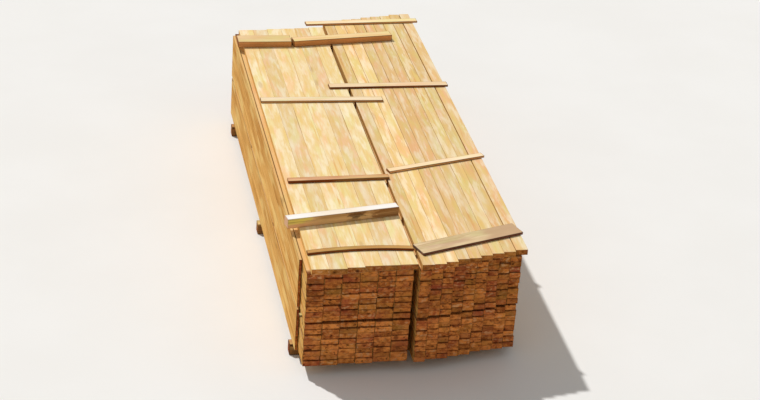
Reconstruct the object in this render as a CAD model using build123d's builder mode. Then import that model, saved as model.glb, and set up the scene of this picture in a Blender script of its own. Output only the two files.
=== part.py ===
"""Stack of sawn lumber: two packs of boards side by side on bearers, with loose battens on top.

The long way of the boards is Y and the packs' near ends face -Y. X runs across both packs and
Z is up. The origin is the centre of the middle bearer's underside, on the floor.
"""

from build123d import *

import os
from math import atan, cos, degrees, radians, sin
from random import Random

# Boards
left_board_length = 5200.0
right_board_length = 5400.0
board_thickness = 50.0
wide_board_width = 147.0
narrow_board_width = 98.0
wide_columns = 6
narrow_columns = 9
lower_rows = 8
upper_rows = 9

# Fits between neighbouring pieces
seat_gap = 0.3
wide_board_gap = 1.5
narrow_board_gap = 3.0
board_sway = 0.5
row_sway = 3.0
end_uneven = 12.0

# Packs
pack_gap = 50.0
left_stagger = 4.0
right_stagger = 24.0
right_turn = 0.2

# Top rows: each lies further right and nearer than its pack, and the right one fans out
left_top_shift = 36.0
left_top_advance = 26.0
left_top_stagger = 10.0
right_top_shift = 19.0
right_top_advance = 12.0
right_top_stagger = 28.0
right_top_board_width = 102.0
right_top_gap = 2.0
right_top_last_gap = 9.0
right_top_fan = 24.0

# Bearers under both packs
bearer_width = 100.0
bearer_height = 100.0
bearer_inset = 400.0
bearer_overhang = 30.0
bearer_wane = 12.0

# Stickers between the lower and the upper boards
sticker_width = 45.0
sticker_height = 20.0
sticker_count = 4
sticker_from_end = 120.0
right_sticker_from_end = 30.0
right_sticker_indent = 110.0

# Boards on edge along the left pack's outer side
edge_board_thickness = 22.0
edge_board_clearance = 1.5
edge_board_start = 250.0
edge_board_finish = 60.0
lower_edge_board_count = 2
upper_edge_board_count = 3

# Laths and battens on top: section sizes
lath_height = 22.0
near_lath_width = 60.0
near_lath_bow = 40.0
brown_lath_width = 70.0
brown_lath_height = 27.0
crossing_lath_width = 95.0
white_batten_width = 95.0
white_batten_height = 88.0
white_batten_wane = 14.0
far_batten_width = 115.0
far_batten_height = 64.0
far_batten_joint = 25.0
short_batten_width = 180.0
short_batten_length = 550.0
end_lath_width = 88.0
grey_board_width = 170.0
grey_board_thickness = 25.0
skew_lath_width = 70.0

# Laths and battens on top: distance of the front edge from the near end, at the left tip
near_lath_from_end = 218.0
white_batten_from_end = 698.0
brown_lath_from_end = 1547.0
left_crossing_from_end = 3290.0
grey_board_from_end = 152.0
skew_lath_from_end = 1703.0
right_crossing_from_end = 3600.0

# The same for those at the far end, before the far ends of the pack that carries them
far_batten_before_end = 510.0
end_lath_before_end = 135.0

# Laths and battens on top: how much further back the right tip lies
near_lath_skew = 24.0
white_batten_skew = 186.0
brown_lath_skew = 33.0
left_crossing_skew = -17.0
far_batten_skew = 150.0
end_lath_skew = 70.0
grey_board_skew = 325.0
skew_lath_skew = 287.0
right_crossing_skew = 18.0

# Laths and battens on top: reach of each tip past the side of the top row named with it
near_lath_left_reach = 3.0
near_lath_right_reach = 6.0
white_batten_left_reach = 100.0
white_batten_right_reach = -4.0
brown_lath_left_reach = -21.0
brown_lath_right_reach = 45.0
left_crossing_left_reach = 4.0
left_crossing_onto_right = 265.0
short_batten_left_reach = 62.0
far_batten_onto_right = 642.0
end_lath_onto_left = 167.0
end_lath_right_reach = 72.0
grey_board_left_reach = -32.0
grey_board_right_reach = 22.0
skew_lath_left_reach = -36.0
skew_lath_right_reach = 35.0
right_crossing_onto_left = 180.0
right_crossing_right_reach = 41.0

# Places that follow from the sizes
wide_pitch = wide_board_width + wide_board_gap
narrow_pitch = narrow_board_width + narrow_board_gap
row_pitch = board_thickness + seat_gap
left_pack_width = wide_columns * wide_pitch - wide_board_gap
right_pack_width = narrow_columns * narrow_pitch - narrow_board_gap
right_top_wide_seam = right_top_last_gap - right_top_gap
right_top_pitch = right_top_board_width + right_top_gap
right_top_width = narrow_columns * right_top_pitch - right_top_gap + right_top_wide_seam
near_end = -left_board_length / 2
left_pack_side = -pack_gap / 2 - left_pack_width
right_pack_side = pack_gap / 2
lower_level = bearer_height + seat_gap
sticker_level = lower_level + lower_rows * row_pitch
upper_level = sticker_level + sticker_height + seat_gap
top_row_level = upper_level + upper_rows * row_pitch
batten_level = top_row_level + row_pitch
top_left = left_pack_side + left_top_shift
top_left_end = top_left + left_pack_width
top_right = right_pack_side + right_top_shift
top_right_end = top_right + right_top_width
edge_board_side = left_pack_side - row_sway - board_sway - edge_board_clearance - edge_board_thickness
sticker_margins = 2 * sticker_from_end + sticker_width
left_sticker_spacing = (left_board_length - sticker_margins) / (sticker_count - 1)
right_sticker_spacing = (right_board_length - sticker_margins) / (sticker_count - 1)
right_slope = right_stagger / narrow_pitch
bearer_end = -edge_board_side + bearer_overhang
bearer_spacing = left_board_length / 2 - bearer_inset
short_batten_left = top_left - short_batten_left_reach
short_batten_end = short_batten_left + short_batten_length
far_batten_from_end = left_board_length - far_batten_before_end
end_lath_from_end = right_board_length - end_lath_before_end


def uneven(*place):
    """Gives a repeatable number from -1 to 1 for a board's place in its pack."""
    return Random(" ".join(str(item) for item in place)).uniform(-1, 1)


def pack_plane(side, turn, level, advance=0.0):
    """Gives the plane of a row whose corner is the pack's near left corner, or that far before it."""
    return Plane(
        origin=(side, near_end - advance, level),
        x_dir=(cos(radians(turn)), -sin(radians(turn)), 0),
        z_dir=(0, 0, 1),
    )


def row_of_boards(plane, name, row, columns, length, width, gap, stagger, wide_seam=0.0, fan=0.0):
    """Draws the outlines of one row of boards with uneven ends and uneven gaps.

    The stagger is how much further back each board lies than the one to its left. The wide seam
    is added to the gap before the last board. The fan is how much wider the row is at its far
    end than at its near end, shared evenly between the gaps.
    """
    row_move = row_sway * uneven(name, row)
    with BuildSketch(plane) as outlines:
        for column in range(columns):
            across = column * (width + gap) + width / 2
            across += row_move + board_sway * uneven(name, row, column, "across")
            if column == columns - 1:
                across += wide_seam
            near = column * stagger + end_uneven * uneven(name, row, column, "near")
            far = length + column * stagger + end_uneven * uneven(name, row, column, "far")
            spread = fan * column / (columns - 1)
            board_turn = degrees(atan(spread / length))
            middle = (across + spread / 2, (near + far) / 2, 0)
            with Locations(Location(middle, (0, 0, -board_turn))):
                Rectangle(width, far - near)
    return outlines.sketch


def batten_outline(left, right, from_end, skew, width, bow=0.0):
    """Draws a batten seen from above, its front edge bowed away from the near end."""
    slope = skew / (right - left)
    front = near_end + from_end
    with BuildSketch(Plane.XY.offset(batten_level)) as outline:
        with BuildLine():
            front_left = (left, front)
            front_right = (right, front + skew)
            back_left = (left - width * slope, front + width)
            back_right = (right - width * slope, front + skew + width)
            middle = (left + right) / 2
            if bow:
                ThreePointArc(front_left, (middle, front + skew / 2 + bow), front_right)
                Line(front_right, back_right)
                shifted = (middle - width * slope, front + skew / 2 + bow + width)
                ThreePointArc(back_right, shifted, back_left)
                Line(back_left, front_left)
            else:
                Polyline(front_left, front_right, back_right, back_left, close=True)
        make_face()
    return outline.sketch


def skewed_strip(plane, left, right, near, slope, width):
    """Draws a sticker seen from above, across a row whose board ends step back by the slope."""
    corners = (
        (left, near + left * slope),
        (right, near + right * slope),
        (right, near + right * slope + width),
        (left, near + left * slope + width),
    )
    with BuildSketch(plane) as outline:
        with BuildLine():
            Polyline(*corners, close=True)
        make_face()
    return outline.sketch


def save(piece, name):
    """Labels a finished piece and writes its file."""
    piece.part.label = name
    export_step(piece.part, f"parts/{name}.step")


os.makedirs("parts", exist_ok=True)

# Bearers: three squared timbers across both packs, with waney upper edges
bearer_names = ("near_bearer", "middle_bearer", "far_bearer")
for place, bearer_name in enumerate(bearer_names):
    bearer_middle = (place - 1) * bearer_spacing
    with BuildPart() as bearer:
        with BuildSketch(Plane.XY):
            with Locations((0, bearer_middle)):
                Rectangle(2 * bearer_end, bearer_width)
        extrude(amount=bearer_height)
        long_edges = bearer.edges().filter_by(Axis.X).group_by(Axis.Z)[-1]
        chamfer(long_edges.sort_by(Axis.Y)[0], bearer_wane)
    save(bearer, bearer_name)

# Left pack: wide boards below and above the stickers, and the top row moved to the right
with BuildPart() as left_lower_boards:
    for row in range(lower_rows):
        plane = pack_plane(left_pack_side, 0, lower_level + row * row_pitch)
        boards = row_of_boards(plane, "left lower", row, wide_columns, left_board_length,
                               wide_board_width, wide_board_gap, left_stagger)
        extrude(boards, amount=board_thickness)
save(left_lower_boards, "left_lower_boards")

with BuildPart() as left_upper_boards:
    for row in range(upper_rows):
        plane = pack_plane(left_pack_side, 0, upper_level + row * row_pitch)
        boards = row_of_boards(plane, "left upper", row, wide_columns, left_board_length,
                               wide_board_width, wide_board_gap, left_stagger)
        extrude(boards, amount=board_thickness)
save(left_upper_boards, "left_upper_boards")

with BuildPart() as left_top_boards:
    plane = pack_plane(top_left, 0, top_row_level, left_top_advance)
    boards = row_of_boards(plane, "left top", 0, wide_columns, left_board_length,
                           wide_board_width, wide_board_gap, left_top_stagger)
    extrude(boards, amount=board_thickness)
save(left_top_boards, "left_top_boards")

# Right pack: narrow boards, pushed back column by column, the whole pack turned a little
with BuildPart() as right_lower_boards:
    for row in range(lower_rows):
        plane = pack_plane(right_pack_side, right_turn, lower_level + row * row_pitch)
        boards = row_of_boards(plane, "right lower", row, narrow_columns, right_board_length,
                               narrow_board_width, narrow_board_gap, right_stagger)
        extrude(boards, amount=board_thickness)
save(right_lower_boards, "right_lower_boards")

with BuildPart() as right_upper_boards:
    for row in range(upper_rows):
        plane = pack_plane(right_pack_side, right_turn, upper_level + row * row_pitch)
        boards = row_of_boards(plane, "right upper", row, narrow_columns, right_board_length,
                               narrow_board_width, narrow_board_gap, right_stagger)
        extrude(boards, amount=board_thickness)
save(right_upper_boards, "right_upper_boards")

with BuildPart() as right_top_boards:
    plane = pack_plane(top_right, 0, top_row_level, right_top_advance)
    boards = row_of_boards(plane, "right top", 0, narrow_columns, right_board_length,
                           right_top_board_width, right_top_gap, right_top_stagger,
                           right_top_wide_seam, right_top_fan)
    extrude(boards, amount=board_thickness)
save(right_top_boards, "right_top_boards")

# Boards on edge along the left pack's outer side, set back from the near end
with BuildPart() as left_edge_boards:
    lower_room = lower_rows * row_pitch
    upper_room = upper_rows * row_pitch
    for level, room, count in (
        (lower_level, lower_room, lower_edge_board_count),
        (upper_level, upper_room, upper_edge_board_count),
    ):
        pitch = room / count
        for place in range(count):
            near = near_end + edge_board_start + end_uneven * uneven("edge", level, place, "near")
            far = -near_end - edge_board_finish + end_uneven * uneven("edge", level, place, "far")
            with BuildSketch(Plane.XY.offset(level + place * pitch)) as edge_board:
                with Locations((edge_board_side + edge_board_thickness / 2, (near + far) / 2)):
                    Rectangle(edge_board_thickness, far - near)
            extrude(edge_board.sketch, amount=pitch - seat_gap)
save(left_edge_boards, "left_edge_boards")

# Stickers: each pack has its own, across the boards at half height
for place in range(sticker_count):
    with BuildPart() as left_sticker:
        plane = pack_plane(edge_board_side, 0, sticker_level)
        near = sticker_from_end + place * left_sticker_spacing
        reach = left_pack_side + left_pack_width - edge_board_side
        extrude(skewed_strip(plane, 0, reach, near, 0, sticker_width), amount=sticker_height)
    save(left_sticker, f"left_sticker_{place + 1}")

    with BuildPart() as right_sticker:
        plane = pack_plane(right_pack_side, right_turn, sticker_level)
        indent = 0 if place else right_sticker_indent
        near = sticker_from_end + place * right_sticker_spacing if place else right_sticker_from_end
        extrude(skewed_strip(plane, indent, right_pack_width, near, right_slope, sticker_width),
                amount=sticker_height)
    save(right_sticker, f"right_sticker_{place + 1}")

# Laths and battens on the left pack
with BuildPart() as near_lath:
    outline = batten_outline(top_left - near_lath_left_reach, top_left_end + near_lath_right_reach,
                             near_lath_from_end, near_lath_skew, near_lath_width, near_lath_bow)
    extrude(outline, amount=lath_height)
save(near_lath, "near_lath")

with BuildPart() as white_batten:
    outline = batten_outline(top_left - white_batten_left_reach, top_left_end + white_batten_right_reach,
                             white_batten_from_end, white_batten_skew, white_batten_width)
    extrude(outline, amount=white_batten_height)
    top_edges = white_batten.edges().group_by(Axis.Z)[-1]
    chamfer(top_edges.sort_by(Axis.Y)[-1], white_batten_wane)
save(white_batten, "white_batten")

with BuildPart() as brown_lath:
    outline = batten_outline(top_left - brown_lath_left_reach, top_left_end + brown_lath_right_reach,
                             brown_lath_from_end, brown_lath_skew, brown_lath_width)
    extrude(outline, amount=brown_lath_height)
save(brown_lath, "brown_lath")

# Laths and battens that cross from one pack to the other
with BuildPart() as left_crossing_lath:
    outline = batten_outline(top_left - left_crossing_left_reach, top_right + left_crossing_onto_right,
                             left_crossing_from_end, left_crossing_skew, crossing_lath_width)
    extrude(outline, amount=lath_height)
save(left_crossing_lath, "left_crossing_lath")

with BuildPart() as right_crossing_lath:
    outline = batten_outline(top_left_end - right_crossing_onto_left,
                             top_right_end + right_crossing_right_reach,
                             right_crossing_from_end, right_crossing_skew, crossing_lath_width)
    extrude(outline, amount=lath_height)
save(right_crossing_lath, "right_crossing_lath")

with BuildPart() as far_short_batten:
    outline = batten_outline(short_batten_left, short_batten_end, far_batten_from_end, 0,
                             short_batten_width)
    extrude(outline, amount=far_batten_height)
save(far_short_batten, "far_short_batten")

with BuildPart() as far_batten:
    outline = batten_outline(short_batten_end + far_batten_joint, top_right + far_batten_onto_right,
                             far_batten_from_end, far_batten_skew, far_batten_width)
    extrude(outline, amount=far_batten_height)
save(far_batten, "far_batten")

with BuildPart() as far_end_lath:
    outline = batten_outline(top_left_end - end_lath_onto_left, top_right_end + end_lath_right_reach,
                             end_lath_from_end, end_lath_skew, end_lath_width)
    extrude(outline, amount=lath_height)
save(far_end_lath, "far_end_lath")

# Boards and laths on the right pack
with BuildPart() as grey_board:
    outline = batten_outline(top_right - grey_board_left_reach, top_right_end + grey_board_right_reach,
                             grey_board_from_end, grey_board_skew, grey_board_width)
    extrude(outline, amount=grey_board_thickness)
save(grey_board, "grey_board")

with BuildPart() as right_skew_lath:
    outline = batten_outline(top_right - skew_lath_left_reach, top_right_end + skew_lath_right_reach,
                             skew_lath_from_end, skew_lath_skew, skew_lath_width)
    extrude(outline, amount=lath_height)
save(right_skew_lath, "right_skew_lath")
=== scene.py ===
"""Scene of a stack of sawn lumber: two packs of boards on bearers, with loose battens on top.

Lengths are in metres, X runs across both packs, Y along the boards and Z up.
"""

import logging
import math
from dataclasses import dataclass, replace
from enum import Enum

import bpy
import numpy as np
from mathutils import Matrix, Vector


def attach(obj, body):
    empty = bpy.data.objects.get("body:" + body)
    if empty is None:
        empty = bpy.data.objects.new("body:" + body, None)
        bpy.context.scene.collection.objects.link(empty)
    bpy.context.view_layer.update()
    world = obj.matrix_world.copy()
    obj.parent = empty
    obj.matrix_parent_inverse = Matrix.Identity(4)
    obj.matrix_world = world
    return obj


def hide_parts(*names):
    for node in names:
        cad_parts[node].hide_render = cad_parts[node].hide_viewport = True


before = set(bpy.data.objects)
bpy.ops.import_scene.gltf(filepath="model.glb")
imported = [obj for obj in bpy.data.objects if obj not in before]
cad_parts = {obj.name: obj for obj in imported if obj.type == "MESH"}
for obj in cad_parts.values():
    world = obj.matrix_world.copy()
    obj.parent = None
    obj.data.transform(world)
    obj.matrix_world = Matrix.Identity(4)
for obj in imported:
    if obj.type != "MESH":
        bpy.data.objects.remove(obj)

LOG = logging.getLogger("lumber_stack")
Socket = bpy.types.NodeSocket

# How deep the relief of sawn wood is, how much of it is rings and saw marks, how much the fibres
# sway the saw marks, and how strongly wood shines.
RELIEF_DEPTH = 0.0012
RING_RELIEF = 0.25
SAW_MARK_RELIEF = 0.12
SAW_MARK_SWAY = 3.0
WOOD_GLOSS = 0.06
# The pace of saw marks and of growth rings in radians a metre, how far the rings are warped, and
# how sharp their dark lines are.
SAW_MARK_PACE = 700.0
RING_PACE = 900.0
RING_WARP_DEPTH = 0.035
RING_SHARPNESS = 2.5


def linear(hex_colour: str) -> tuple[float, float, float, float]:
    """Turns a colour written as #RRGGBB into the linear values that a shader takes.

    Args:
        hex_colour: the colour as it is seen on a screen.

    Returns:
        Red, green, blue and full alpha.
    """
    parts = [int(hex_colour[i:i + 2], 16) / 255 for i in (1, 3, 5)]
    bent = [c / 12.92 if c <= 0.04045 else ((c + 0.055) / 1.055) ** 2.4 for c in parts]
    return bent[0], bent[1], bent[2], 1.0


class Run(Enum):
    """The way a timber's length lies."""

    ALONG_BOARDS = "along boards"
    ACROSS_PACKS = "across packs"

    def to_own(self, points: np.ndarray) -> np.ndarray:
        """Turns points from the stack's axes to those of a timber that lies this way.

        Args:
            points: X, Y and Z.

        Returns:
            How far across, along and up they lie.
        """
        if self is Run.ALONG_BOARDS:
            return points
        return np.stack((-points[..., 1], points[..., 0], points[..., 2]), axis=-1)

    def to_stack(self, points: np.ndarray) -> np.ndarray:
        """Turns points from the axes of a timber that lies this way to the stack's.

        Args:
            points: how far across, along and up they lie.

        Returns:
            X, Y and Z.
        """
        if self is Run.ALONG_BOARDS:
            return points
        return np.stack((points[..., 1], -points[..., 0], points[..., 2]), axis=-1)


class Graph:
    """The node tree of a material or of the sky while it is being wired."""

    def __init__(self, owner: bpy.types.Material | bpy.types.World,
                 shader: str = "Principled BSDF") -> None:
        """Opens the tree of a new material or sky, with its shader at hand.

        Args:
            owner: the material or sky.
            shader: the name of the shader that its tree holds from the start.
        """
        owner.use_nodes = True
        self.owner = owner
        self.tree = owner.node_tree
        self.shader = self.tree.nodes[shader]

    def put(self, kind: str, inputs: dict | None = None, **settings: object) -> bpy.types.Node:
        """Adds a node.

        Args:
            kind: Blender's name of the node type.
            inputs: what feeds its inputs.
            **settings: properties of the node.

        Returns:
            The node.
        """
        node = self.tree.nodes.new(kind)
        for key, value in settings.items():
            setattr(node, key, value)
        self.feed(node, inputs or {})
        return node

    def feed(self, node: bpy.types.Node, inputs: dict) -> None:
        """Links outputs to a node's inputs, or sets the inputs' own values.

        Args:
            node: the node.
            inputs: by name or number, an output, a colour as #RRGGBB, or the number or numbers.
        """
        for key, value in inputs.items():
            if isinstance(value, Socket):
                self.tree.links.new(value, node.inputs[key])
            else:
                node.inputs[key].default_value = linear(value) if isinstance(value, str) else value

    def attribute(self, name: str) -> Socket:
        """Gives the vector that the mesh carries under that name."""
        return self.put("ShaderNodeAttribute", attribute_name=name).outputs["Vector"]

    def split(self, vector: Socket) -> tuple[Socket, ...]:
        """Gives the three numbers of a vector."""
        return tuple(self.put("ShaderNodeSeparateXYZ", {0: vector}).outputs)

    def scaled(self, vector: Socket, *factors: float) -> Socket:
        """Gives a vector with each of its numbers multiplied by its own factor."""
        node = self.put("ShaderNodeVectorMath", {0: vector, 1: factors}, operation="MULTIPLY")
        return node.outputs[0]

    def calc(self, operation: str, first: object, second: object = 0.0, third: object = 0.0,
             clamp: bool = False) -> Socket:
        """Gives the result of one sum on up to three numbers."""
        return self.put("ShaderNodeMath", {0: first, 1: second, 2: third}, operation=operation,
                        use_clamp=clamp).outputs[0]

    def span(self, value: Socket, low: float, high: float, start: float = 0.0,
             end: float = 1.0) -> Socket:
        """Maps low..high smoothly to start..end and holds it there outside."""
        node = self.put("ShaderNodeMapRange", {"Value": value, "From Min": low, "From Max": high,
                                               "To Min": start, "To Max": end},
                        interpolation_type="SMOOTHSTEP")
        return node.outputs["Result"]

    def blend(self, factor: object, under: object, over: object, way: str = "MIX") -> Socket:
        """Lays one colour over another.

        Args:
            factor: how strongly, from 0 to 1.
            under, over: the colours, each an output or written as #RRGGBB.
            way: Blender's name of the way they are mixed.

        Returns:
            The mixed colour.
        """
        node = self.put("ShaderNodeMix", {0: factor, 6: under, 7: over}, data_type="RGBA",
                        blend_type=way, clamp_factor=True)
        return node.outputs[2]

    def finished_wood(self, colour: Socket, height: Socket, relief: float,
                      roughness: float) -> bpy.types.Material:
        """Wires a wood's colour and relief to the shader.

        Args:
            colour: the surface's colour.
            height: the relief's height, from 0 to about 1.
            relief: how strongly it shows.
            roughness: how dull the surface is.

        Returns:
            The material.
        """
        bump = self.put("ShaderNodeBump", {"Strength": relief, "Distance": RELIEF_DEPTH, "Height": height})
        self.feed(self.shader, {"Base Color": colour, "Normal": bump.outputs["Normal"],
                                "Roughness": roughness, "Specular IOR Level": WOOD_GLOSS})
        return self.owner


@dataclass(frozen=True)
class Noise:
    """A smooth noise that fills a material, of which each surface shows its own part.

    Attributes:
        across, along, up: how many blotches there are to a metre each way, up as across if None.
        detail, roughness: how many finer layers it has, and how strong they are.
        shift: how far it is moved, so that no two lie alike.
    """

    across: float
    along: float
    up: float | None = None
    detail: float = 2.0
    roughness: float = 0.5
    shift: tuple[float, float, float] | None = None

    def lay(self, g: Graph, place: Socket) -> Socket:
        """Lays the noise.

        Args:
            g: the nodes that it joins.
            place: where a point of the surface lies.

        Returns:
            The noise at that point, from 0 to 1.
        """
        if self.shift:
            place = g.put("ShaderNodeVectorMath", {0: place, 1: self.shift}, operation="ADD").outputs[0]
        up = self.across if self.up is None else self.up
        node = g.put("ShaderNodeTexNoise", {"Vector": g.scaled(place, self.across, self.along, up),
                                            "Scale": 1.0, "Detail": self.detail,
                                            "Roughness": self.roughness})
        return node.outputs["Fac"]


@dataclass(frozen=True)
class Knots:
    """Knots in the wood: the middles of some cells of a cell pattern.

    Attributes:
        scale: how many cells there are to a metre across, along and up.
        number: which of a cell's three random numbers chooses the knots.
        chosen: the span of that number over which they come up.
        size: how far from a cell's middle a knot is full, and how far it reaches.
    """

    scale: tuple[float, float, float]
    number: int
    chosen: tuple[float, float]
    size: tuple[float, float]

    def lay(self, g: Graph, place: Socket, strength: float) -> Socket:
        """Lays the knots.

        Args:
            g: the nodes that they join.
            place: where a point of the surface lies.
            strength: how strongly the knots show.

        Returns:
            How much of a knot there is at that point, from 0 to that strength.
        """
        cells = g.put("ShaderNodeTexVoronoi", {"Vector": g.scaled(place, *self.scale), "Scale": 1.0,
                                               "Randomness": 1.0})
        gate = g.span(g.split(cells.outputs["Color"])[self.number], *self.chosen, 0.0, strength)
        return g.calc("MULTIPLY", gate, g.span(cells.outputs["Distance"], *self.size, 1.0, 0.0))


RING_WARP = Noise(9.0, 0.8, detail=3.0)
FIBRE = Noise(150.0, 3.2, detail=4.0, roughness=0.65)
STREAK = Noise(34.0, 0.9, detail=3.0, roughness=0.6)
PATCH = Noise(8.0, 1.6, detail=3.0, roughness=0.6)
ROSY = Noise(10.0, 2.2, shift=(3.0, 11.0, 5.0))
MOSSY = Noise(9.0, 1.9, shift=(7.0, 23.0, 2.0))
FLECK = Noise(24.0, 3.2, detail=3.0, roughness=0.6, shift=(1.0, 5.0, 8.0))
END_BLOTCH = Noise(22.0, 0.6, up=34.0, detail=3.0, roughness=0.6)
END_SPECK = Noise(27.0, 0.6, up=40.0, detail=1.5, shift=(5.0, 2.0, 9.0))
END_BATCH = Noise(5.0, 0.5, up=7.0)
BATTEN_BLOTCH = Noise(40.0, 11.0, detail=4.0, roughness=0.65)
BATTEN_FIBRE = Noise(140.0, 4.0, detail=4.0, roughness=0.65)
BATTEN_STREAK = Noise(60.0, 1.6, detail=3.0, roughness=0.6)
FLOOR_MOTTLE = Noise(0.8, 0.8, detail=4.0)
FACE_KNOTS = Knots((7.0, 1.7, 7.0), number=0, chosen=(0.62, 0.66), size=(0.09, 0.2))
END_KNOTS = Knots((11.0, 0.3, 11.0), number=1, chosen=(0.8, 0.82), size=(0.1, 0.24))


class SawnGraph(Graph):
    """The node tree of a sawn wood, with what such a finish knows at each point.

    Attributes:
        log: where the point lay in its tree, seen from the tree's middle.
        kind: how much the point is side, end and seam.
        tone: the timber's own three numbers.
        rings: the growth rings.
        fibre, streak: fine fibres and broader streaks along the tree.
        patch: large pale patches.
        rosy, mossy: where the wood turns pinkish and greenish.
        fleck: small light and yellow flecks.
        grain: rings, fibres and streaks taken together.
    """

    def __init__(self, name: str) -> None:
        """Reads what the mesh carries and lays the noises.

        The growth rings are circles round the log's middle: a wave whose turn is the length of the
        log vector without its run along the tree, moved about by a slow noise. Fibres and streaks
        are noises stretched along the tree.

        Args:
            name: the material's name.
        """
        super().__init__(bpy.data.materials.new(name))
        self.log = self.attribute("log")
        self.kind = self.split(self.attribute("kind"))
        self.tone = self.split(self.attribute("tone"))
        radius = self.put("ShaderNodeVectorMath", {0: self.scaled(self.log, 1.0, 0.0, 1.0)},
                          operation="LENGTH").outputs["Value"]
        warped = self.calc("MULTIPLY_ADD", RING_WARP.lay(self, self.log), RING_WARP_DEPTH, radius)
        wave = self.calc("SINE", self.calc("MULTIPLY", warped, RING_PACE))
        self.rings = self.calc("POWER", self.calc("MULTIPLY_ADD", wave, 0.5, 0.5), RING_SHARPNESS)
        self.fibre = FIBRE.lay(self, self.log)
        self.streak = STREAK.lay(self, self.log)
        self.patch = self.span(PATCH.lay(self, self.log), 0.42, 0.66)
        self.rosy = ROSY.lay(self, self.log)
        self.mossy = MOSSY.lay(self, self.log)
        self.fleck = FLECK.lay(self, self.log)
        grain = self.calc("MULTIPLY_ADD", self.rings, 0.3, self.span(self.fibre, 0.3, 0.75, 0.0, 0.35))
        self.grain = self.calc("MULTIPLY_ADD", self.span(self.streak, 0.4, 0.75), 0.4, grain, clamp=True)


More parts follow.
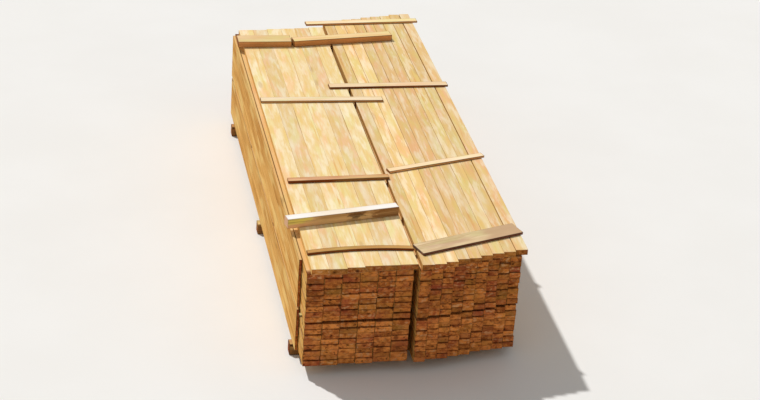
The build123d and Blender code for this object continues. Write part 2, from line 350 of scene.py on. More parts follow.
@dataclass(frozen=True)
class SawnWood:
    """A finish of rough sawn wood, with its own colours for faces, sides and ends.

    Attributes:
        name, slot: the material's name, and the name of a part's slot, which is not used.
        face, face_late, face_patch: tops and undersides, their dark grain and pale patches.
        side, side_late, side_pale: the long sides, their dark grain and pale patches.
        end, end_late: the saw cut ends and their darker wood.
        seam: knots, and the dirt and painted shade in the seams.
        blush, moss, amber, yellow: the faces' tints in patches, streaks and flecks.
        end_pale, end_red, end_olive, end_dark: the ends' tints in blotches and specks.
        tip, tip_start: a colour that the faces take at the far end, and how far along it begins.
        side_patch, patchiness: how strong the pale patches are on sides and on faces.
        mottle, flecks, knots, seam_depth: how strong the faces' tints and flecks, all knots, and
            the seams along faces and sides are.
        tone_spread: how much darker a timber can be as a whole.
        relief, roughness: how strongly the relief shows, and how dull the surface is.
    """

    name: str
    slot: str
    face: str
    face_late: str
    face_patch: str
    side: str
    side_late: str
    end: str
    end_late: str
    seam: str
    blush: str = "#FBCB9E"
    moss: str = "#E6DF92"
    amber: str = "#E3A04E"
    yellow: str = "#EFC878"
    end_pale: str = "#CFA070"
    end_red: str = "#98402C"
    end_olive: str = "#A87830"
    end_dark: str = "#3A1C0C"
    side_patch: float = 0.15
    side_pale: str = "#F2D488"
    tip: str | None = None
    tip_start: float = 0.6
    patchiness: float = 0.55
    mottle: float = 0.45
    flecks: float = 0.2
    knots: float = 0.55
    seam_depth: float = 1.0
    tone_spread: float = 0.12
    relief: float = 0.45
    roughness: float = 0.85

    def material(self) -> bpy.types.Material:
        """Wires the finish.

        The mesh's kind chooses between the colours of faces, sides and ends. Knots and dark seams
        lie over them, each timber is a little lighter or darker as a whole, and the relief is
        made of fibres, rings and the saw's marks.

        Returns:
            The material.
        """
        g = SawnGraph(self.name)
        colour = g.blend(g.kind[0], self.face_colour(g), self.side_colour(g))
        colour = g.blend(g.kind[1], colour, self.end_colour(g))
        colour = g.blend(FACE_KNOTS.lay(g, g.log, self.knots), colour, self.seam)
        # Dark seams: dirt, and painted shade where timbers meet.
        colour = g.blend(self.seams(g), colour, self.seam)
        brightness = g.span(g.tone[0], 0.0, 1.0, 1.0 - self.tone_spread, 1.0 + self.tone_spread / 2)
        shade = g.put("ShaderNodeCombineColor", {0: brightness, 1: brightness, 2: brightness})
        colour = g.blend(1.0, colour, shade.outputs[0], way="MULTIPLY")

        pace = g.calc("MULTIPLY", g.split(g.log)[1], SAW_MARK_PACE)
        saw_marks = g.calc("SINE", g.calc("MULTIPLY_ADD", g.fibre, SAW_MARK_SWAY, pace))
        height = g.calc("MULTIPLY_ADD", saw_marks, SAW_MARK_RELIEF, g.fibre)
        height = g.calc("MULTIPLY_ADD", g.rings, RING_RELIEF, height)
        return g.finished_wood(colour, height, self.relief, self.roughness)

    def face_colour(self, g: SawnGraph) -> Socket:
        """Wires the colour of tops and undersides.

        Pale patches lie over the grain, then pinkish and greenish ones, which some timbers have
        all over, then amber streaks and light and yellow flecks. A finish with a tip turns to
        that colour past its start, with a ragged border.

        Args:
            g: the finish's nodes.

        Returns:
            The colour.
        """
        face = g.blend(g.grain, self.face, self.face_late)
        face = g.blend(g.calc("MULTIPLY", g.patch, self.patchiness), face, self.face_patch)
        for noise, own, tint in ((g.rosy, g.tone[1], self.blush), (g.mossy, g.tone[2], self.moss)):
            tinted = g.calc("ADD", g.span(noise, 0.5, 0.66, 0.0, self.mottle),
                            g.span(own, 0.6, 1.0, 0.0, 0.2))
            face = g.blend(tinted, face, tint)
        face = g.blend(g.span(g.streak, 0.6, 0.72, 0.0, self.mottle), face, self.amber)
        face = g.blend(g.span(g.fleck, 0.5, 0.66, 0.0, self.flecks), face, self.face_patch)
        face = g.blend(g.span(g.fleck, 0.5, 0.34, 0.0, self.flecks), face, self.yellow)
        if self.tip:
            reach = g.calc("MULTIPLY_ADD", g.rosy, 0.3, g.split(g.attribute("place"))[1])
            tipped = g.span(reach, self.tip_start + 0.1, self.tip_start + 0.25, 0.0, 0.8)
            face = g.blend(tipped, face, self.tip)
        return face

    def side_colour(self, g: SawnGraph) -> Socket:
        """Wires the colour of the long sides: grain and streaks, darker timbers and pale patches.

        Args:
            g: the finish's nodes.

        Returns:
            The colour.
        """
        streaked = g.calc("MAXIMUM", g.grain, g.span(g.streak, 0.35, 0.7, -0.15, 0.75))
        late = g.calc("MULTIPLY_ADD", g.patch, 0.3, streaked, clamp=True)
        side = g.blend(late, self.side, self.side_late)
        side = g.blend(g.span(g.tone[2], 0.5, 1.0, 0.0, 0.4), side, self.side_late)
        return g.blend(g.span(g.mossy, 0.48, 0.66, 0.0, self.side_patch), side, self.side_pale)

    def end_colour(self, g: SawnGraph) -> Socket:
        """Wires the colour of the saw cut ends.

        Each end is darker or lighter as a whole and in blotches. Some turn reddish or olive, by
        their own numbers and by where they lie in the stack, and over that lie pale blotches,
        knots and dark specks.

        Args:
            g: the finish's nodes.

        Returns:
            The colour.
        """
        blotch = END_BLOTCH.lay(g, g.log)
        speck = END_SPECK.lay(g, g.log)
        batch = END_BATCH.lay(g, g.put("ShaderNodeTexCoord").outputs["Object"])
        dark = g.calc("ADD", g.span(g.tone[1], 0.0, 1.0, -0.25, 0.3), g.grain)
        dark = g.calc("ADD", g.span(blotch, 0.35, 0.7, -0.25, 0.6), dark, clamp=True)
        end = g.blend(dark, self.end, self.end_late)
        red = g.calc("ADD", g.span(g.tone[2], 0.72, 0.95, 0.0, 0.3), g.span(batch, 0.5, 0.66, 0.0, 0.4))
        end = g.blend(red, end, self.end_red)
        olive = g.calc("ADD", g.span(g.tone[0], 0.2, 0.05, 0.0, 0.2), g.span(batch, 0.45, 0.34, 0.0, 0.3))
        end = g.blend(olive, end, self.end_olive)
        pale = g.calc("MULTIPLY", g.span(g.tone[0], 0.35, 1.0, 0.25, 1.0), g.span(speck, 0.52, 0.68))
        end = g.blend(g.calc("MULTIPLY", pale, 0.6), end, self.end_pale)
        spots = g.calc("MAXIMUM", END_KNOTS.lay(g, g.log, 0.8), g.span(speck, 0.38, 0.28, 0.0, 0.75))
        return g.blend(spots, end, self.end_dark)

    def seams(self, g: SawnGraph) -> Socket:
        """Wires how dark the seams' dirt and painted shade are, which differs from timber to timber and
        along each.

        Args:
            g: the finish's nodes.

        Returns:
            The darkness, from 0 to 1.
        """
        long_seams = g.span(g.tone[1], 0.1, 0.9, self.seam_depth * 0.3, self.seam_depth * 1.5)
        end_seams = g.span(g.tone[2], 0.2, 0.8, 0.45, 1.0)
        depth = g.span(g.kind[1], 0.0, 1.0, long_seams, end_seams)
        sunk = g.calc("MULTIPLY", g.kind[2], depth, clamp=True)
        return g.calc("MULTIPLY", sunk, g.span(g.streak, 0.2, 0.8, 0.6, 1.0))


@dataclass(frozen=True)
class SunBleachedWood:
    """A finish for the white batten, whose front is patched in tan, olive, rust and brown.

    Attributes:
        name, slot: the material's name, and the name of a part's slot, which is not used.
        top, top_shade: the top, and where it is worn.
        front, front_olive, front_red, front_dark, front_brown: the front's tan and its stains.
        end, seam: the ends, and the fibres and seams.
        olive: where the olive begins to turn to tan and where it has, in metres from the start.
        rust: where the rust has gone, and where it is still full.
        first_stain: where the dark stain begins, is full, begins to fade and has gone.
        second_stain, upper_band: where the brown stain and the brown band begin and are full.
        relief, roughness: how strongly the relief shows, and how dull the surface is.
    """

    name: str
    slot: str
    top: str
    top_shade: str
    front: str
    front_olive: str
    front_red: str
    front_dark: str
    front_brown: str
    end: str
    seam: str
    olive: tuple[float, float] = (0.14, 0.24)
    rust: tuple[float, float] = (0.26, 0.18)
    first_stain: tuple[float, float, float, float] = (0.53, 0.58, 0.64, 0.7)
    second_stain: tuple[float, float] = (0.74, 0.8)
    upper_band: tuple[float, float] = (0.2, 0.32)
    relief: float = 0.4
    roughness: float = 0.8

    def material(self) -> bpy.types.Material:
        """Wires the finish.

        Returns:
            The material.
        """
        g = Graph(bpy.data.materials.new(self.name))
        log = g.attribute("log")
        kind = g.split(g.attribute("kind"))
        place = g.split(g.attribute("place"))
        blotch = BATTEN_BLOTCH.lay(g, log)
        fibre = BATTEN_FIBRE.lay(g, log)
        along = g.calc("MULTIPLY_ADD", g.calc("SUBTRACT", blotch, 0.5), 0.3, place[1])
        worn = g.calc("MULTIPLY", g.span(along, 0.1, 0.35), g.span(along, 0.85, 0.55))
        worn = g.calc("MAXIMUM", g.calc("MULTIPLY", worn, 0.7), g.span(fibre, 0.35, 0.8, 0.0, 0.6))
        top = g.blend(worn, self.top, self.top_shade)
        front = self.front_colour(g, BATTEN_STREAK.lay(g, log), along, place[2])
        front = g.blend(g.span(fibre, 0.3, 0.8, 0.0, 0.25), front, self.seam)
        colour = g.blend(kind[0], top, front)
        colour = g.blend(kind[1], colour, self.end)
        colour = g.blend(g.calc("MULTIPLY", kind[2], 0.35), colour, self.seam)
        return g.finished_wood(colour, fibre, self.relief, self.roughness)

    def front_colour(self, g: Graph, streaks: Socket, along: Socket, up: Socket) -> Socket:
        """Wires the front's colours.

        Olive with rust below it, tan, a dark stain, tan and a brown stain follow one another. A
        brown band lies along the upper edge past the olive, and brown streaks lie all over.

        Args:
            g: the finish's nodes.
            streaks: thin streaks along the batten.
            along: how far along it a point is, moved about by a noise for ragged borders.
            up: how far above the batten's middle it is.

        Returns:
            The colour.
        """
        begins, full, fades, gone = self.first_stain
        front = g.blend(g.span(along, *self.olive), self.front_olive, self.front)
        rust = g.calc("MULTIPLY", g.span(along, *self.rust), g.span(up, 0.006, -0.02, 0.0, 0.85))
        front = g.blend(rust, front, self.front_red)
        weathered = g.span(streaks, 0.35, 0.65, 1.0, 0.6)
        dark = g.calc("MULTIPLY", g.span(along, begins, full), g.span(along, gone, fades))
        dark = g.calc("MULTIPLY", dark, g.span(up, -0.034, 0.0, 0.35, 1.0))
        front = g.blend(g.calc("MULTIPLY", dark, weathered), front, self.front_dark)
        band = g.calc("MULTIPLY", g.span(along, *self.upper_band), g.span(up, 0.004, 0.018, 0.0, 0.55))
        front = g.blend(band, front, self.front_brown)
        brown = g.calc("MULTIPLY", g.span(along, *self.second_stain), weathered)
        brown = g.calc("MAXIMUM", brown, g.span(streaks, 0.5, 0.66, 0.0, 0.4))
        return g.blend(brown, front, self.front_brown)


PACK_BOARDS = SawnWood(
    name="pack_boards", slot="board_wood",
    face="#E8BF84", face_late="#D8A362", face_patch="#ECCC9D",
    side="#EEBC6A", side_late="#B9792E",
    end="#D27F3B", end_late="#85451C", seam="#4A2610", seam_depth=0.5,
    blush="#E8AE7C", moss="#D6BE74",
)
# The lower rows' ends are painted lighter: painted light that makes up for the floor's bounce light which
# the stack's own shadow takes from them.
LOWER_BOARDS_PAINTED_LIGHT = replace(PACK_BOARDS, name="lower_boards", end="#EA9248", end_late="#9C5424")
TOP_BOARDS = SawnWood(
    name="top_boards", slot="board_wood",
    face="#F4DAA0", face_late="#E8BB74", face_patch="#FFF1D0",
    side="#E8BA70", side_late="#C08640",
    end="#D08440", end_late="#844818", seam="#A87840", knots=0.3, seam_depth=0.25,
    patchiness=0.65, mottle=0.55, flecks=0.6, tone_spread=0.08, blush="#FCC797", moss="#F0E09A",
)
NARROW_TOP_BOARDS = replace(
    TOP_BOARDS, name="narrow_top_boards",
    face="#F4D294", face_late="#E0AE68", face_patch="#FFECC8", blush="#F8BA86", moss="#E8D486",
    tone_spread=0.12,
)
BOARDS_ON_EDGE = SawnWood(
    name="boards_on_edge", slot="board_wood",
    face="#FAC988", face_late="#D09A58", face_patch="#F8D49E",
    side="#F6C472", side_late="#BC7E32",
    end="#C07434", end_late="#7A4016", seam="#4E2E12", knots=0.4, side_patch=0.5, seam_depth=0.7,
    blush="#E8B078", moss="#DCC078",
)
PALE_LATH = SawnWood(
    name="pale_lath", slot="lath_wood",
    face="#FFE5B8", face_late="#F0CA92", face_patch="#FFF0D4",
    side="#F4BC82", side_late="#BC844E",
    end="#B87C45", end_late="#7E4C24", seam="#5E3A1C", knots=0.3,
)
# A shaded copy of the pale lath: its darker sides are painted shade and shadow.
SHADED_LATH = replace(PALE_LATH, name="shaded_lath", side="#A8683A", side_late="#683818")
THICK_BATTEN = replace(
    PALE_LATH, name="thick_batten",
    face="#F0CC96", face_late="#DCAE74", face_patch="#F6DCB0", side="#ECA868", side_late="#B87A46",
)
# The brown lath's sides are brown wood, darkened further as painted shade; the tan lath keeps them.
BROWN_LATH = SawnWood(
    name="brown_lath", slot="lath_wood",
    face="#D69E70", face_late="#BC7E50", face_patch="#DEAF88",
    side="#8E4A1E", side_late="#582A10", moss="#DCC080",
    end="#A0683A", end_late="#6B3D1C", seam="#47270F", knots=0.3,
)
TAN_LATH = replace(
    BROWN_LATH, name="tan_lath",
    face="#C39156", face_late="#A6743E", face_patch="#CCA068", blush="#C88C56", moss="#BAA058",
)
STICKER_WOOD = SawnWood(
    name="sticker_wood", slot="lath_wood",
    face="#A07A4C", face_late="#7E5E34", face_patch="#947652",
    side="#84653E", side_late="#5E4428",
    end="#7E5C3C", end_late="#54391F", seam="#3C2A1E", end_pale="#8E6C48", knots=0.2,
)
GREY_BOARD = SawnWood(
    name="grey_board", slot="grey_wood",
    face="#E8C89C", face_late="#BE9870", face_patch="#F2DAAC",
    side="#8E5E4A", side_late="#5C382C", tip="#CDA782", tip_start=0.66,
    end="#8A6A5A", end_late="#5A4238", seam="#3A2622", mottle=0.6, flecks=0.5,
    blush="#D2AC8E", moss="#DACC92", amber="#BE966C", yellow="#C8AC7C", knots=0.25,
)
BEARER_WOOD = SawnWood(
    name="squared_timber", slot="bearer_wood",
    face="#C0905A", face_late="#936436", face_patch="#CCA470",
    side="#A87440", side_late="#704722",
    end="#A86C36", end_late="#63391A", seam="#3B2411", end_pale="#B98A58", knots=0.5,
)
WHITE_BATTEN = SunBleachedWood(
    name="white_batten_wood", slot="white_wood",
    top="#FFFBF8", top_shade="#FBE6C6", front="#F0C488", front_olive="#FAE474",
    front_red="#FABA8A", front_dark="#54422E", front_brown="#9C6E40", end="#DCAE88", seam="#6E4422",
)


# How far above a timber's lowest corner another one still counts as on its underside.
SAME_LEVEL = 0.0005
# How far the underside and the ends are drawn in.
UNDERSIDE_INSET = 0.0003
END_INSET = 0.0009
# How much further the top is drawn in along its middle, as a share.
TOP_HOLLOW = 0.5
# How far the saw cuts lean, and how far from the end the timber leans with them.
SAW_SLANT = 0.0004
SLANT_REACH = 0.05
# The sections that close an end, as shares of its outline.
END_SHARES = np.array([0.0, 0.45, 1.0, 1.0])
# How far the sections behind the worn edge lie: past that edge the first, from the end the others.
BEHIND_EDGE = 0.004
BEHIND_END = (0.03, 0.08)
# How strongly the faces take the end's stain at the worn edge and at those sections.
STAIN_SHARES = np.array([1.0, 1.0, 0.9, 0.0])
# The least and most of a face's unevenness, and of a corner's wear the least and what more it can be.
UNEVEN_SHARES = (0.2, 1.8)
CORNER_SHARES = (0.8, 0.5)
# How often each corner keeps a bark edge, and the wave's gain and loss that leave it in patches.
WANE_CHANCES = np.array([0.0, 0.3, 0.3, 0.0])
WANE_WAVE = (2.2, 1.2)
# The slow wave's three cosines: the least and most radians a metre, and their shares.
WAVE_PACES = (0.8, 5.0)
WAVE_SHARES = np.array([0.5, 0.3, 0.2])
# How far along its log a timber can begin.
LOG_RUN = 40.0
# How far the middle of a worn corner's arc lies from both its sides, as a share of the cut.
ARC = 1 - math.sqrt(0.5)
# The points round a section, clockwise from the lower left corner as seen from the timber's start:
# side across and up, number of the corner, shares of that corner's cut across and up, shares of the
# seam's width across and up, and the marks as side and as seam. The right points mirror the left.
LEFT_POINTS = np.array([
    (-1, -1, 0, 1, 0, 0, 0, 0, 1),
    (-1, -1, 0, ARC, ARC, 0, 0, 1, 1),
    (-1, -1, 0, 0, 1, 0, 0, 1, 1),
    (-1, -1, 0, 0, 1, 0, 1, 1, 0),
    (-1, 0, 0, 0, 0, 0, 0, 1, 0),
    (-1, 1, 1, 0, -1, 0, -1, 1, 0),
    (-1, 1, 1, 0, -1, 0, 0, 1, 1),
    (-1, 1, 1, ARC, -ARC, 0, 0, 0.5, 1),
    (-1, 1, 1, 1, 0, 0, 0, 0, 1),
    (-1, 1, 1, 1, 0, 1, 0, 0, 0),
    (-0.5, 1, 1, 0, 0, 0, 0, 0, 0),
])
TOP_POINT = np.array([(0, 1, 1, 0, 0, 0, 0, 0, 0)])
RIGHT_POINTS = LEFT_POINTS[::-1] * (-1, 1, -1, -1, 1, -1, 1, 1, 1) + (0, 0, 3, 0, 0, 0, 0, 0, 0)
BOTTOM_POINTS = np.array([(0.4, -1, 3, 0, 0, 0, 0, 0, 0), (-0.4, -1, 0, 0, 0, 0, 0, 0, 0)])
SECTION_POINTS = np.concatenate((LEFT_POINTS, TOP_POINT, RIGHT_POINTS, BOTTOM_POINTS))


@dataclass
class Timbers:
    """The timbers of one node: each is a sawn piece with worn corners, uneven faces and saw cut ends.

    Attributes:
        node: the frame's node that these timbers stand for.
        finish: what they are made to look like.
        run: the way their length lies.
        seed: starts the numbers that make each timber its own.
        stations: how many sections each timber has along its length.
        corner: the worn corners' cut.
        wane: the depth of bark edge that some timbers keep on a top corner, 0 for none.
        cuts: a larger cut of one corner, for the corners bottom left, top left, top right and
            bottom right, seen from the start of the timber.
        bow: how far the middle is bent towards the timber's left.
        pith: how far the log's middle lies from the timber's, across and up.
        seam_width: how far a seam's dirt and painted shade reach from a corner.
        end_cut: the worn edge round the ends.
        end_stain: how strongly the tops and undersides take the ends' colour close to the ends.
        end_dirt: how dark the tops and undersides are there, with painted shade where the rows above
            overhang them, and dirt.
        drawn_in: the least and the further uneven distance by which the faces are drawn in.
        swollen: how far the sides stand out past the node's, which narrows the seams.
    """

    node: str
    finish: SawnWood | SunBleachedWood
    run: Run = Run.ALONG_BOARDS
    seed: int = 1
    stations: int = 14
    corner: float = 0.0024
    wane: float = 0.0
    cuts: tuple[float, float, float, float] = (0.0, 0.0, 0.0, 0.0)
    bow: float = 0.0
    pith: tuple[float, float] = (0.05, 0.09)
    seam_width: float = 0.0035
    end_cut: float = 0.0022
    end_stain: float = 0.0
    end_dirt: float = 0.0
    drawn_in: tuple[float, float] = (0.0005, 0.0009)
    swollen: float = 0.0

    def solids(self) -> list[np.ndarray]:
        """Reads the node's mesh and sorts its corners by solid.

        Corners at the same place are one; then each triangle's corners take the lowest label
        among them until no label changes, which leaves one label for each solid.

        Returns:
            The corners of each solid, as (across, along, up).
        """
        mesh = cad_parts[self.node].data
        mesh.calc_loop_triangles()
        places = np.empty(len(mesh.vertices) * 3, np.float32)
        mesh.vertices.foreach_get("co", places)
        triangles = np.empty(len(mesh.loop_triangles) * 3, np.int32)
        mesh.loop_triangles.foreach_get("vertices", triangles)
        rounded = np.round(places.reshape(-1, 3).astype(float), 5)
        corners, which = np.unique(rounded, axis=0, return_inverse=True)
        triangles = which.reshape(-1)[triangles].reshape(-1, 3)
        labels = np.arange(len(corners))
        settled = False
        while not settled:
            lowest = labels.copy()
            np.minimum.at(lowest, triangles.ravel(), np.repeat(labels[triangles].min(axis=1), 3))
            settled = bool((lowest == labels).all())
            labels = lowest
        own = self.run.to_own(corners)
        return [own[labels == label] for label in np.unique(labels)]

    def plan(self) -> tuple[np.ndarray, np.ndarray]:
        """Gives the four lower corners and the two levels of each timber.

        A corner of a long rectangle is the point that lies furthest in the slanting direction of
        that corner, whichever way the rectangle is turned by up to an eighth of a turn.

        Returns:
            Corners as an array (timber, start or end, left or right, 2) and levels (timber, 2).
        """
        slants = np.array([[[-1.0, -1.0], [1.0, -1.0]], [[-1.0, 1.0], [1.0, 1.0]]])
        quads, levels = [], []
        for corners in self.solids():
            low, high = corners[:, 2].min(), corners[:, 2].max()
            ground = corners[corners[:, 2] < low + SAME_LEVEL, :2]
            furthest = np.argmax(slants @ ground.T, axis=-1)
            quads.append(ground[furthest])
            levels.append((low, high))
        return np.array(quads), np.array(levels)

    def sections_along(self, length: np.ndarray) -> tuple[np.ndarray, np.ndarray, np.ndarray]:
        """Places the sections along the timbers.

        The first and last sections are the middles of the two ends. Next to them, and still in
        the end's face, are a share of its outline, the outline drawn in by the seam's width, and
        the outline itself, which the worn edge leaves. The rest lie along the timber.

        Args:
            length: each timber's length.

        Returns:
            Distances from the start (timber, section), each section's size as a share of the
            timber's, and how far its outline is drawn in.
        """
        cap = len(END_SHARES)
        spread = (len(length), cap)
        near_rows = np.array([self.end_cut, self.end_cut + BEHIND_EDGE, *BEHIND_END])
        inner = near_rows[-1]
        body = np.linspace(0, 1, self.stations)[1:-1]
        along = np.concatenate([
            np.zeros(spread),
            np.broadcast_to(near_rows, spread),
            inner + body * (length[:, None] - 2 * inner),
            length[:, None] - near_rows[::-1],
            np.broadcast_to(length[:, None], spread),
        ], axis=1)
        rows = along.shape[1]
        scale = np.concatenate([END_SHARES, np.ones(rows - 2 * cap), END_SHARES[::-1]])
        drawn = np.zeros(rows)
        drawn[[cap - 2, 1 - cap]] = self.end_cut + self.seam_width
        drawn[[cap - 1, -cap]] = self.end_cut
        return along, scale, drawn

    def wander(self, rng: np.random.Generator, along: np.ndarray) -> np.ndarray:
        """Gives a slow wave from 0 to 1 along each timber, the sum of three cosines.

        Args:
            rng: where the waves' lengths and starts come from.
            along: distances along the timbers (timber, section).

        Returns:
            The wave at each of those distances.
        """
        pace = rng.uniform(*WAVE_PACES, (len(along), 1, 3))
        start = rng.uniform(0, 2 * math.pi, (len(along), 1, 3))
        return 0.5 + 0.5 * (np.cos(pace * along[..., None] + start) * WAVE_SHARES).sum(axis=-1)

    def sections(self, rng: np.random.Generator, along: np.ndarray, half: np.ndarray) -> np.ndarray:
        """Works out the sections: rectangles with uneven faces and each corner cut in an arc.

        A point is its side of the rectangle times half the size less what the face is drawn in,
        plus its share of the corner's cut, plus its share of the seam's width.

        Args:
            rng: where the timbers' own unevenness comes from.
            along: distances along the timbers (timber, section).
            half: half width and half height (timber, 1, 2).

        Returns:
            Points (timber, section, point, 2).
        """
        count, rows = along.shape
        least, uneven = self.drawn_in
        own_uneven = uneven * rng.uniform(*UNEVEN_SHARES, (count, 1, 3))
        inset = least + own_uneven * np.stack([self.wander(rng, along) for _ in range(3)], axis=-1)
        inset[..., :2] -= self.swollen
        share, more = CORNER_SHARES
        cuts = np.full((count, rows, 4), self.corner) * (share + more * rng.random((count, 1, 4)))
        cuts = np.maximum(cuts, np.array(self.cuts))
        waney = rng.random((count, 1, 4)) < WANE_CHANCES
        gain, loss = WANE_WAVE
        ragged = np.stack([self.wander(rng, along) for _ in range(4)], axis=-1)
        cuts = cuts + self.wane * waney * np.clip(ragged * gain - loss, 0, 1)

        side_x, side_z, corner, cut_x, cut_z, seam_x, seam_z = SECTION_POINTS[:, :7].T
        cut = cuts[..., corner.astype(int)]
        drawn_x = np.where(side_x < 0, inset[..., 0:1], inset[..., 1:2])
        drawn_top = inset[..., 2:3] * (1 + TOP_HOLLOW * (1 - side_x ** 2))
        drawn_z = np.where(side_z > 0, drawn_top, UNDERSIDE_INSET)
        x = side_x * (half[..., 0:1] - drawn_x) + cut_x * cut + seam_x * self.seam_width
        z = side_z * (half[..., 1:2] - drawn_z) + cut_z * cut + seam_z * self.seam_width
        return np.stack((x, z), axis=-1)

    def leaned(self, rng: np.random.Generator, along: np.ndarray, length: np.ndarray,
               share: np.ndarray) -> np.ndarray:
        """Leans the sections near the ends, so that each saw cut is a little out of square.

        Args:
            rng: where each cut's slant comes from.
            along: distances along the timbers (timber, section).
            length: each timber's length.
            share: where a point lies in its section, as shares of the half size.

        Returns:
            How far along its timber each point lies (timber, section, point).
        """
        slope = rng.uniform(-1, 1, (len(length), 2, 2)) * SAW_SLANT
        lean = END_INSET + (share[:, :, :, None, :] * slope[:, None, None]).sum(axis=-1)
        nearness = np.clip(1 - along[..., None] / SLANT_REACH, 0, 1)
        farness = np.clip(1 - (length[:, None, None] - along[..., None]) / SLANT_REACH, 0, 1)
        return along[..., None] + lean[..., 0] * nearness - lean[..., 1] * farness

    def marks(self, rng: np.random.Generator, points: np.ndarray,
              reach: np.ndarray) -> dict[str, np.ndarray]:
        """Works out what each point carries for the materials.

        Args:
            rng: where each timber's place in its log and its own numbers come from.
            points: the points of the sections (timber, section, point, 2).
            reach: how far along its timber each point lies (timber, section, point).

        Returns:
            By name, three numbers a point: its place in the log, how much it is side, end and
            seam, its timber's own numbers, and its place in the timber.
        """
        side, seam = SECTION_POINTS[:, 7:].T
        kind = np.zeros((*reach.shape, 3))
        kind[..., 0] = side
        kind[..., 2] = seam
        cap = len(END_SHARES)
        fading = STAIN_SHARES[:, None] * self.end_stain * (1 - side)
        kind[:, :cap, :, 1] = kind[:, -cap:, :, 1] = 1.0
        kind[:, cap:2 * cap, :, 1] = fading
        kind[:, -2 * cap:-cap, :, 1] = fading[::-1]
        # Painted shade and dirt on the faces close to the ends, where the rows above overhang them.
        kind[:, cap + 1:2 * cap, :, 2] += fading[1:] * self.end_dirt
        kind[:, -2 * cap:-cap - 1, :, 2] += fading[:0:-1] * self.end_dirt
        # The ends carry no seam, save the worn edge round each end, which is all seam: dirt and painted
        # shade between the ends.
        kind[:, :cap - 1, :, 2] = kind[:, 1 - cap:, :, 2] = 0.0
        kind[:, [cap - 1, cap, -cap - 1, -cap], :, 2] = 1.0
        pith = rng.uniform(-1, 1, (len(points), 1, 1, 2)) * np.array(self.pith)
        run_start = rng.uniform(0, LOG_RUN, (len(points), 1, 1))
        x, z = points[..., 0], points[..., 1]
        return {
            "log": np.stack((x + pith[..., 0], reach + run_start, z + pith[..., 1]), axis=-1),
            "kind": kind,
            "tone": np.broadcast_to(rng.random((len(points), 1, 1, 3)), kind.shape),
            "place": np.stack((x, reach, z), axis=-1),
        }

    def build(self) -> bpy.types.Object:
        """Makes the timbers' mesh, dresses it and puts it in the node's place.

        Every timber is one closed surface on a grid of sections and of points round a section. A
        point lies as far along the line from start to end as its section leans there, and as far
        beside and above that line as it lies in its section. A bowed timber's line is a parabola.

        Returns:
            The finished piece.
        """
        rng = np.random.default_rng(self.seed)
        quads, levels = self.plan()
        start, end = quads[:, 0].mean(axis=1), quads[:, 1].mean(axis=1)
        length = np.linalg.norm(end - start, axis=-1)
        forward = (end - start) / length[:, None]
        across = quads[:, 0, 1] - quads[:, 0, 0]
        width = np.linalg.norm(across, axis=-1)
        across = across / width[:, None]
        half = np.stack((width / 2, (levels[:, 1] - levels[:, 0]) / 2), axis=-1)[:, None]

        along, scale, drawn = self.sections_along(length)
        points = self.sections(rng, along, half)
        points = points * scale[:, None, None] * (1 - drawn[:, None, None] / half[:, :, None])
        reach = self.leaned(rng, along, length, points / half[:, :, None])
        part_way = along / length[:, None]
        bend = -self.bow * 4 * part_way * (1 - part_way)
        sideways = points[..., 0] + bend[..., None]
        flat = (start[:, None, None] + forward[:, None, None] * reach[..., None]
                + across[:, None, None] * sideways[..., None])
        up = levels.mean(axis=1)[:, None, None] + points[..., 1]
        places = np.concatenate((flat, up[..., None]), axis=-1)

        piece = self.mesh_of(self.run.to_stack(places), self.marks(rng, points, reach))
        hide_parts(self.node)
        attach(piece, "root")
        LOG.info("%s: %d timbers, %d faces", piece.name, len(length), len(piece.data.polygons))
        return piece

    def mesh_of(self, places: np.ndarray, marks: dict[str, np.ndarray]) -> bpy.types.Object:
        """Joins the grids of all timbers into one mesh.

        Neighbouring points of neighbouring sections make four-sided faces; at both ends the
        section is a single point, so the faces there are triangles. The points run clockwise as
        seen from the start, and each face's corners are taken the way that turns it outwards.

        Args:
            places: the points (timber, section, point, 3).
            marks: what each point carries for the materials, three numbers a name.

        Returns:
            The object with its mesh and material.
        """
        count, rows, around = places.shape[:3]
        kept = np.ones((rows, around), bool)
        kept[[0, -1], 1:] = False
        number = np.cumsum(kept.ravel()).reshape(rows, around) - 1
        number[0], number[-1] = number[0, 0], number[-1, 0]
        total = int(kept.sum())
        following = np.roll(number, -1, axis=1)
        quads = np.stack((number[1:-2], following[1:-2], following[2:-1], number[2:-1]), axis=-1)
        first = np.stack((number[0], following[1], number[1]), axis=-1)
        last = np.stack((number[-1], number[-2], following[-2]), axis=-1)
        offsets = (np.arange(count) * total)[:, None, None]
        all_quads = (quads.reshape(-1, 4) + offsets).reshape(-1, 4)
        all_fans = (np.concatenate((first, last)) + offsets).reshape(-1, 3)

        mesh = bpy.data.meshes.new(f"{self.node}_timber")
        mesh.from_pydata(places[:, kept].reshape(-1, 3), [], all_quads.tolist() + all_fans.tolist(),
                         shade_flat=False)
        for name, values in marks.items():
            carried = mesh.attributes.new(name, "FLOAT_VECTOR", "POINT")
            carried.data.foreach_set("vector", values[:, kept].reshape(-1).astype(np.float32))
        mesh.materials.append(bpy.data.materials.get(self.finish.name) or self.finish.material())
        piece = bpy.data.objects.new(f"{self.node}_timber", mesh)
        bpy.context.scene.collection.objects.link(piece)
        return piece


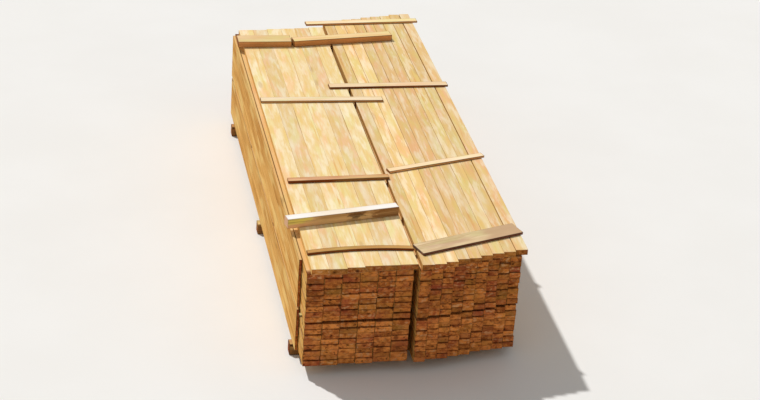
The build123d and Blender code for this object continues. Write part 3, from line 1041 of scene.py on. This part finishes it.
@dataclass
class BoardPacks:
    """The rows of boards of both packs.

    The row_ fields are for the rows of which the ends show, and the top_ fields for the top rows
    and the boards on edge. Each is the field of Timbers that has the rest of its name.
    """

    row_stations: int = 14
    row_corner: float = 0.0017
    row_seam_width: float = 0.0022
    row_end_cut: float = 0.0017
    row_end_stain: float = 1.0
    row_end_dirt: float = 0.75
    row_drawn_in: tuple[float, float] = (0.0001, 0.0011)
    top_stations: int = 34
    top_wane: float = 0.005
    top_corner: float = 0.0004
    top_seam_width: float = 0.002
    top_drawn_in: tuple[float, float] = (0.00005, 0.0002)
    top_swollen: float = 0.0006

    def values(self, start: str) -> dict[str, object]:
        """Gives the fields whose names begin that way, by the rest of their names."""
        return {name.removeprefix(start): value for name, value in vars(self).items()
                if name.startswith(start)}

    def build(self) -> list[bpy.types.Object]:
        """Makes the lower, upper and top boards of each pack and the boards on edge.

        Returns:
            The pieces.
        """
        row, top = self.values("row_"), self.values("top_")
        boards = [
            Timbers("left_lower_boards", LOWER_BOARDS_PAINTED_LIGHT, seed=11, **row),
            Timbers("left_upper_boards", PACK_BOARDS, seed=12, **row),
            Timbers("right_lower_boards", LOWER_BOARDS_PAINTED_LIGHT, seed=13, **row),
            Timbers("right_upper_boards", PACK_BOARDS, seed=14, **row),
            Timbers("left_edge_boards", BOARDS_ON_EDGE, seed=15, **top),
            Timbers("left_top_boards", TOP_BOARDS, seed=16, **top),
            Timbers("right_top_boards", NARROW_TOP_BOARDS, seed=17, **top),
        ]
        return [timbers.build() for timbers in boards]


@dataclass
class BearersAndStickers:
    """The squared timbers under the packs and the stickers at half height.

    Attributes:
        bearers: the squared timbers' nodes.
        stickers_each: how many stickers each pack has.
        stations: how many sections each timber has along its length.
        bearer_corner, sticker_corner: the worn corners' cut.
        bearer_wane: the bark edge on one top corner of each bearer.
        sticker_seam: how far a seam's dirt and painted shade reach from a sticker's corner.
    """

    bearers: tuple[str, ...] = ("near_bearer", "middle_bearer", "far_bearer")
    stickers_each: int = 4
    stations: int = 16
    bearer_corner: float = 0.004
    bearer_wane: float = 0.0125
    sticker_corner: float = 0.0015
    sticker_seam: float = 0.002

    def build(self) -> list[bpy.types.Object]:
        """Makes the bearers and then the stickers of both packs.

        Returns:
            The pieces.
        """
        made = [
            Timbers(node, BEARER_WOOD, run=Run.ACROSS_PACKS, seed=21 + place, stations=self.stations,
                    corner=self.bearer_corner, cuts=(0.0, 0.0, self.bearer_wane, 0.0)).build()
            for place, node in enumerate(self.bearers)
        ]
        for side in ("left", "right"):
            for place in range(1, self.stickers_each + 1):
                made.append(Timbers(f"{side}_sticker_{place}", STICKER_WOOD, run=Run.ACROSS_PACKS,
                                    seed=30 + place, stations=self.stations,
                                    corner=self.sticker_corner,
                                    seam_width=self.sticker_seam).build())
        return made


@dataclass
class LooseBattens:
    """The laths, battens and boards that lie loose across the top.

    Attributes:
        stations: how many sections each of them has along its length.
        lath_bow: how far the middle of the near lath is bent.
        white_batten_wane: the bark edge on one top corner of the white batten.
    """

    stations: int = 22
    lath_bow: float = 0.04
    white_batten_wane: float = 0.0145

    def build(self) -> list[bpy.types.Object]:
        """Makes them one by one, each with a seed of its own.

        Returns:
            The pieces.
        """
        loose = (
            ("near_lath", TAN_LATH, {"bow": self.lath_bow}),
            ("white_batten", WHITE_BATTEN, {"cuts": (0.0, self.white_batten_wane, 0.0, 0.0)}),
            ("brown_lath", BROWN_LATH, {}),
            ("left_crossing_lath", PALE_LATH, {}),
            ("right_crossing_lath", SHADED_LATH, {}),
            ("far_batten", THICK_BATTEN, {}),
            ("far_short_batten", THICK_BATTEN, {}),
            ("far_end_lath", PALE_LATH, {}),
            ("grey_board", GREY_BOARD, {}),
            ("right_skew_lath", PALE_LATH, {}),
        )
        return [
            Timbers(node, finish, run=Run.ACROSS_PACKS, seed=41 + place, stations=self.stations,
                    **own).build()
            for place, (node, finish, own) in enumerate(loose)
        ]


@dataclass
class Yard:
    """The pale floor, the light and the camera.

    Attributes:
        floor_half: half the floor's side.
        floor_drop: how far the floor lies under the bearers, so that the two don't flicker.
        floor_colour, floor_patch: the floor as it looks in plain light, and in its patches.
        floor_roughness, floor_gloss: how dull the floor is, and how strongly it shines.
        sky_strength: the light from all round.
        sun_strength: the light from behind and to the left.
        sun_towards: the direction in which the sun stands.
        sun_size: how wide the sun looks, which softens its shadows.
        camera_place: where the camera stands.
        camera_turn: its turn to the right, its dip and its roll, in degrees.
        lens, picture_width: the focal length, and the picture's width that it goes with, in mm.
        sight: how far the camera sees.
    """

    floor_half: float = 60.0
    floor_drop: float = 0.0005
    floor_colour: str = "#F2F0EC"
    floor_patch: str = "#E9E6E0"
    floor_roughness: float = 0.95
    floor_gloss: float = 0.1
    sky_strength: float = 0.38
    sun_strength: float = 2.52
    sun_towards: tuple[float, float, float] = (-0.4, 0.52, 0.86)
    sun_size: float = 2.0
    camera_place: tuple[float, float, float] = (-3.221, -16.017, 8.481)
    camera_turn: tuple[float, float, float] = (12.059, 26.525, -4.01)
    lens: float = 90.9
    picture_width: float = 36.0
    sight: float = 200.0

    def build(self) -> None:
        """Makes the floor, the sun, the sky and the camera."""
        self.lay_floor()
        self.hang_sun()
        self.set_sky()
        self.place_camera()

    def lay_floor(self) -> None:
        """Lays a square floor, slightly mottled."""
        g = Graph(bpy.data.materials.new("yard_floor"))
        noise = FLOOR_MOTTLE.lay(g, g.put("ShaderNodeTexCoord").outputs["Object"])
        mottle = g.span(noise, 0.3, 0.7, 0.0, 0.25)
        colour = g.blend(mottle, self.floor_colour, self.floor_patch)
        g.feed(g.shader, {"Base Color": colour, "Roughness": self.floor_roughness,
                          "Specular IOR Level": self.floor_gloss})
        half = self.floor_half
        mesh = bpy.data.meshes.new("yard_floor")
        corners = [(-half, -half), (half, -half), (half, half), (-half, half)]
        mesh.from_pydata([(x, y, -self.floor_drop) for x, y in corners], [], [(0, 1, 2, 3)])
        mesh.materials.append(g.owner)
        floor = bpy.data.objects.new("yard_floor", mesh)
        bpy.context.scene.collection.objects.link(floor)

    def hang_sun(self) -> None:
        """Hangs the sun so that it shines against its own direction."""
        lamp = bpy.data.lights.new("sun", "SUN")
        lamp.energy = self.sun_strength
        lamp.angle = math.radians(self.sun_size)
        sun = bpy.data.objects.new("sun", lamp)
        sun.rotation_mode = "QUATERNION"
        sun.rotation_quaternion = Vector(self.sun_towards).to_track_quat("Z", "Y")
        bpy.context.scene.collection.objects.link(sun)

    def set_sky(self) -> None:
        """Sets the light from all round, and white where the camera or a gloss sees past the floor."""
        world = bpy.data.worlds.new("sky")
        bpy.context.scene.world = world
        g = Graph(world, shader="Background")
        rays = g.put("ShaderNodeLightPath").outputs
        seen = g.calc("MAXIMUM", rays["Is Camera Ray"], rays["Is Glossy Ray"])
        seen = g.calc("MAXIMUM", seen, rays["Is Transmission Ray"])
        strength = g.put("ShaderNodeMapRange", {"Value": seen, "To Min": self.sky_strength, "To Max": 1.0})
        g.feed(g.shader, {"Color": "#FFFFFF", "Strength": strength.outputs["Result"]})

    def place_camera(self) -> None:
        """Stands the camera where the photograph was taken from, turned so that all is in view."""
        yaw, dip, roll = (math.radians(angle) for angle in self.camera_turn)
        forward = Vector((math.sin(yaw) * math.cos(dip), math.cos(yaw) * math.cos(dip), -math.sin(dip)))
        right = Vector((math.cos(yaw), -math.sin(yaw), 0))
        down = forward.cross(right)
        turned_right = math.cos(roll) * right + math.sin(roll) * down
        turned_down = -math.sin(roll) * right + math.cos(roll) * down
        lens = bpy.data.cameras.new("camera")
        lens.lens = self.lens
        lens.sensor_width = self.picture_width
        lens.clip_end = self.sight
        camera = bpy.data.objects.new("camera", lens)
        axes = Matrix((turned_right, -turned_down, -forward)).transposed()
        camera.matrix_world = Matrix.Translation(self.camera_place) @ axes.to_4x4()
        bpy.context.scene.collection.objects.link(camera)
        bpy.context.scene.camera = camera


def main() -> None:
    """Builds the stack and its surroundings in order."""
    logging.basicConfig(level=logging.INFO, format="%(name)s: %(message)s")
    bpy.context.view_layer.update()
    bpy.context.scene.view_settings.view_transform = "Standard"
    for group in (BearersAndStickers(), BoardPacks(), LooseBattens()):
        pieces = group.build()
        LOG.info("%s: %d pieces", type(group).__name__, len(pieces))
    Yard().build()


if __name__ == "__main__":
    main()
